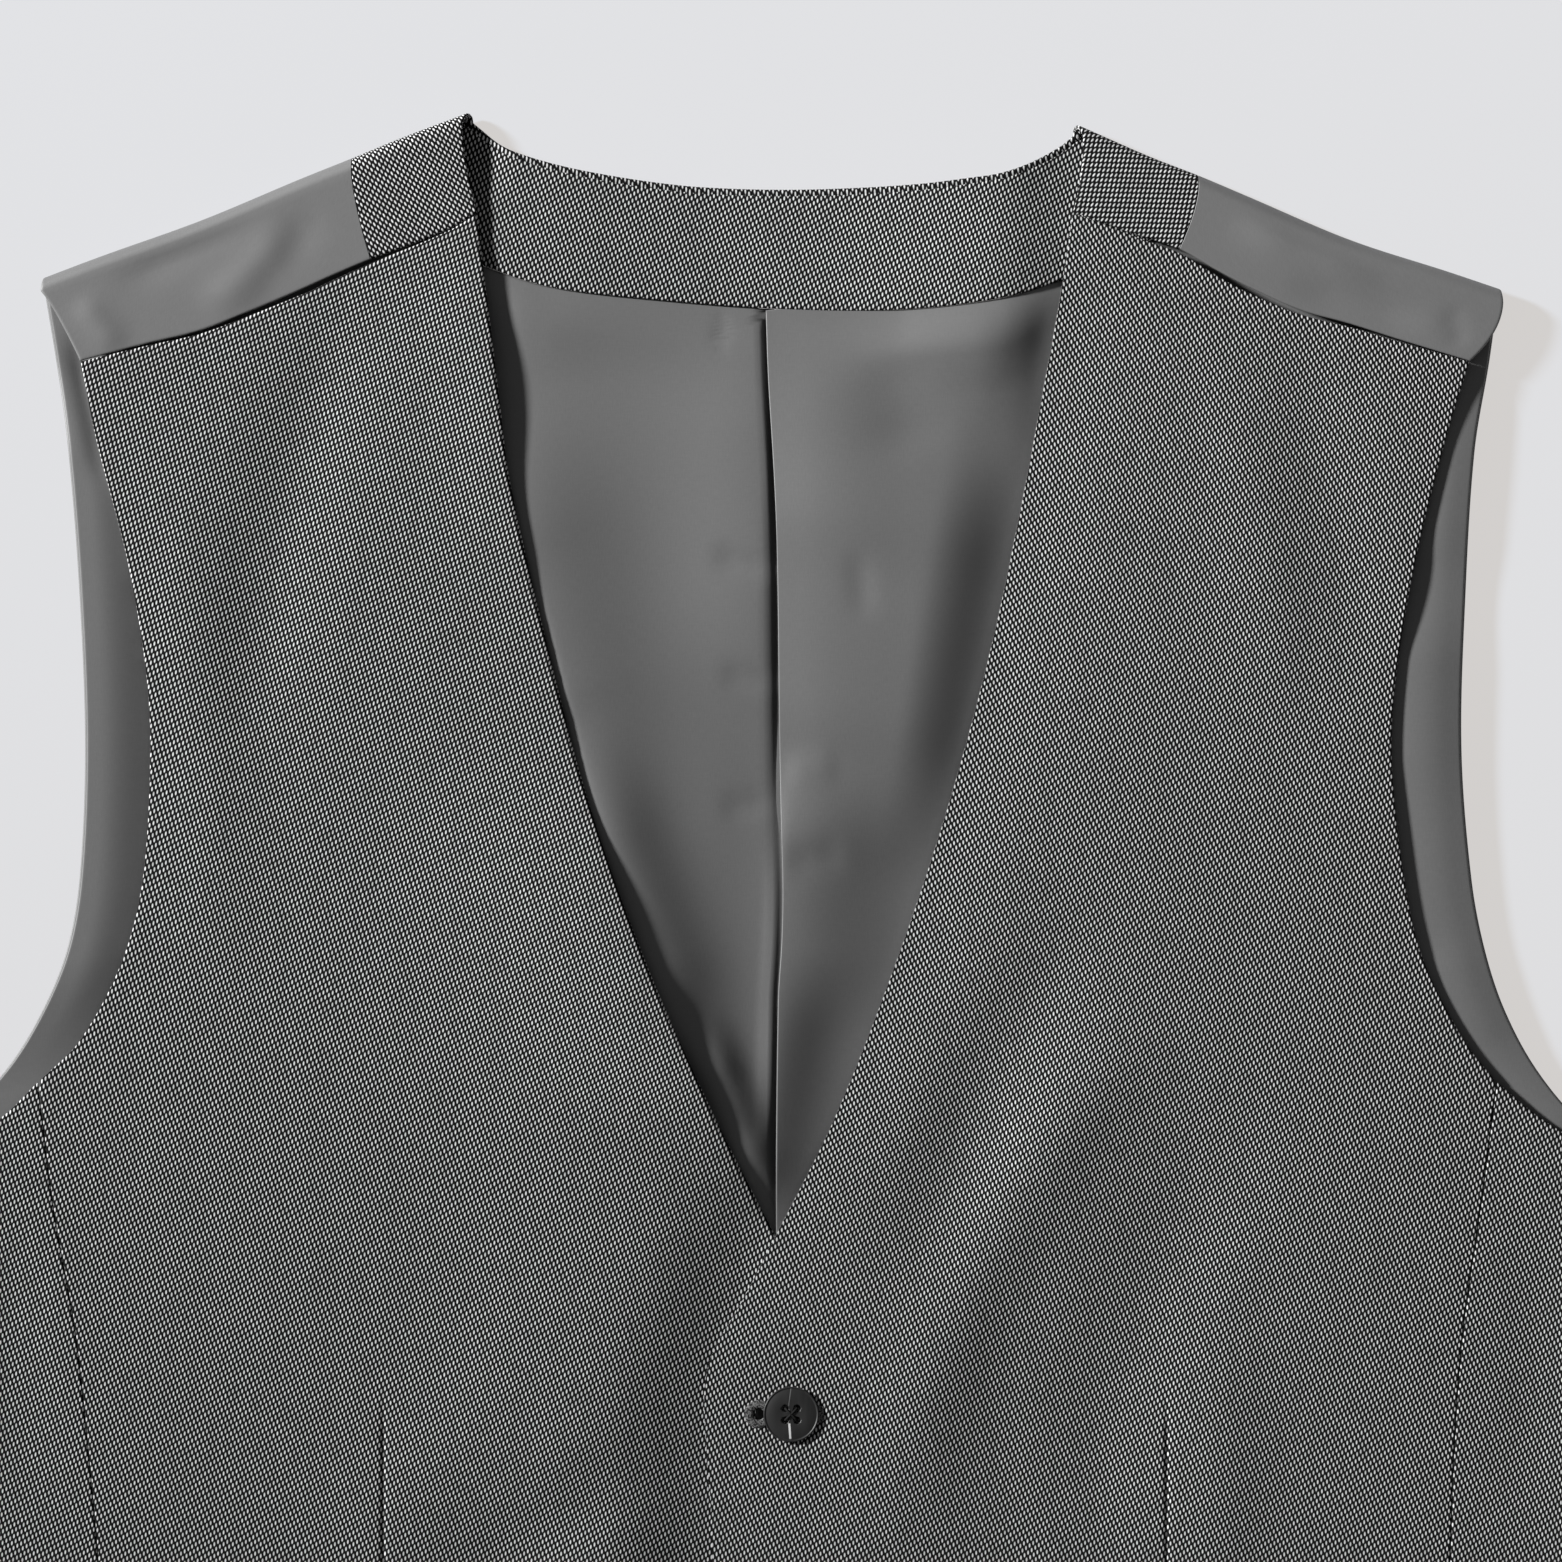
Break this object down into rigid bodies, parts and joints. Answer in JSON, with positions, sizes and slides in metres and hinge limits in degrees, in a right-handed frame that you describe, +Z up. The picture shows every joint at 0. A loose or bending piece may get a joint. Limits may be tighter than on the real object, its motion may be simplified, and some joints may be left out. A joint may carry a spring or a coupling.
{
  "type": "suit waistcoat",
  "caption": "Buttoned suit waistcoat lying flat on its back, with a V neck, fronts in a small woven pattern and a plain satin back that wraps over the shoulders.",
  "frame": {"origin": "under the middle of the garment's outline, on the surface that it lies on", "axes": "+Z up out of the fronts, +Y towards the neck, +X towards the wearer's left side"},
  "size_m": [0.5, 0.6507, 0.0109],
  "materials": {
    "suiting": "worsted wool in a fine light and dark nailhead weave",
    "satin": "plain grey satin with a soft sheen",
    "lining": "plain grey satin lining",
    "button": "dark, softly polished"
  },
  "bodies": {
    "root": {"front_left": "suiting", "front_right": "suiting", "side_front_left": "suiting", "side_front_right": "suiting", "back_neck_band": "suiting", "back_neck_facing": "suiting", "back_left": "satin", "back_right": "satin", "back_lining_left": "lining", "back_lining_right": "lining", "button_1": "button", "button_2": "button", "button_3": "button", "button_4": "button", "button_5": "button"}
  },
  "joints": []
}
